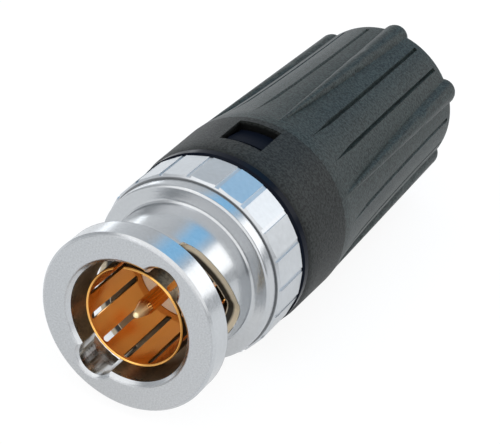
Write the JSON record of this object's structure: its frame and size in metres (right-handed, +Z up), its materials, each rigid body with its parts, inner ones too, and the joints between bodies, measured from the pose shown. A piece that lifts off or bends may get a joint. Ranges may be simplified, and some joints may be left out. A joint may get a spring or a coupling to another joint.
{
  "type": "coaxial bayonet cable plug",
  "caption": "Coaxial bayonet cable plug with a slotted spring sleeve, a centre pin, a nut with cam slots and a long ribbed boot that turns the nut.",
  "frame": {"origin": "centre of the mating face, on the plug's axis", "axes": "+Y along the axis from the mating face to the cable end, +Z up, +X to the right seen from the mating end"},
  "size_m": [0.0162, 0.0467, 0.0162],
  "materials": {
    "nickel": "turned brass, satin nickel plated",
    "nickel_grip": "satin nickel plated, flats milled along the axis",
    "gold": "gold plated, polished",
    "steel": "spring steel, plain",
    "insulator": "milky fluoropolymer, slightly translucent",
    "rubber": "moulded silicone",
    "sleeve_black": "glossy moulded plastic",
    "boot_collar": "fine spark-eroded texture",
    "boot_ribbed": "matte moulded elastomer",
    "bush": "plain acetal",
    "mouth": "soft moulded elastomer"
  },
  "bodies": {
    "body": {"connector_body": "nickel", "outer_contact": "gold", "centre_pin": "gold", "front_insulator": "insulator", "rear_insulator": "insulator", "lock_ring": "nickel", "face_gasket": "rubber", "body_o_ring": "rubber", "wave_washer": "steel", "crimp_stem": "nickel", "crimp_ferrule": "nickel"},
    "washer": {"thrust_washer": "steel"},
    "coupling": {"coupling_nut": "nickel", "grip_ring": "nickel_grip", "retaining_ring": "steel", "latch_sleeve": "sleeve_black", "boot_shell": "boot_collar", "boot_grip": "boot_ribbed", "rear_bushing": "bush", "cable_grommet": "mouth"}
  },
  "joints": [
    {"name": "coupling_slide", "type": "slide", "parent": "body", "child": "washer", "axis": [0, -1, 0], "range_m": [0, 0.0006], "stiffness_N_per_m": 8000, "springref_m": -0.0003, "deforming": ["wave_washer"]},
    {"name": "coupling_turn", "type": "hinge", "parent": "washer", "child": "coupling", "pos_m": [0, 0.0135, 0], "axis": [0, 1, 0], "continuous": true}
  ]
}
